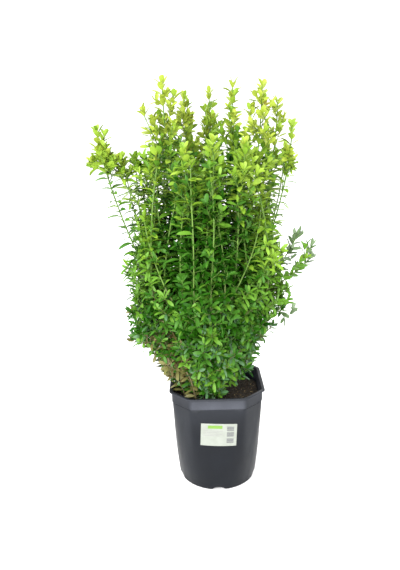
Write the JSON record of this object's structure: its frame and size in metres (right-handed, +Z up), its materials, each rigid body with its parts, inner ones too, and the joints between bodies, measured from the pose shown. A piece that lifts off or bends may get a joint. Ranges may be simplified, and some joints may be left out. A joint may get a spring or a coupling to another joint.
{
  "type": "potted boxwood",
  "caption": "Upright evergreen boxwood shrub with tall leafy plumes, in a dark nursery pot with an eight-sided rim.",
  "frame": {"origin": "middle of the pot's flat underside", "axes": "+Z up through the plant; the pot's labelled front face looks along -Y; +X is to the right seen from the front"},
  "size_m": [0.4632, 0.3845, 0.833],
  "materials": {
    "pot_plastic": "satin charcoal moulded plastic",
    "compost": "damp dark potting compost",
    "label_paper": "white sticker with a plain green stripe and grey bars",
    "bark": "green young shoots on grey-brown wood",
    "dark_leaf": "glossy dark green leaves",
    "fresh_leaf": "glossy fresh yellow-green leaves"
  },
  "bodies": {
    "root": {"bough_1": "bark", "bough_2": "bark", "bough_3": "bark", "bough_4": "bark", "bough_5": "bark", "bough_6": "bark", "compost": "compost", "label": "label_paper", "mass_body_1": "dark_leaf", "mass_body_2": "dark_leaf", "mass_body_3": "dark_leaf", "mass_body_4": "dark_leaf", "mass_body_5": "dark_leaf", "mass_body_6": "dark_leaf", "mass_body_inside": "dark_leaf", "mass_skirt_1": "dark_leaf", "mass_skirt_2": "dark_leaf", "mass_skirt_3": "dark_leaf", "mass_skirt_4": "dark_leaf", "mass_skirt_5": "dark_leaf", "plume_back_centre": "fresh_leaf", "plume_back_far_left": "fresh_leaf", "plume_back_far_right": "fresh_leaf", "plume_back_left": "fresh_leaf", "plume_back_right": "fresh_leaf", "plume_centre": "fresh_leaf", "plume_far_left": "fresh_leaf", "plume_far_right": "fresh_leaf", "plume_front_centre": "fresh_leaf", "plume_front_left": "fresh_leaf", "plume_front_right": "fresh_leaf", "plume_inner_left": "fresh_leaf", "plume_right": "fresh_leaf", "plume_right_back": "fresh_leaf", "plume_second": "fresh_leaf", "plume_side_left": "fresh_leaf", "plume_tall": "fresh_leaf", "plume_thin": "fresh_leaf", "pot": "pot_plastic", "shoot_back_far_right": "bark", "shoot_far_left": "bark", "shoot_far_right": "bark", "shoot_right_high": "bark", "shoot_right_low": "bark", "shoot_right_middle": "bark", "shoot_right_under": "bark", "spray_right_high": "fresh_leaf", "spray_right_low": "fresh_leaf", "spray_right_middle": "fresh_leaf", "spray_right_under": "fresh_leaf", "stock": "bark"}
  },
  "joints": []
}
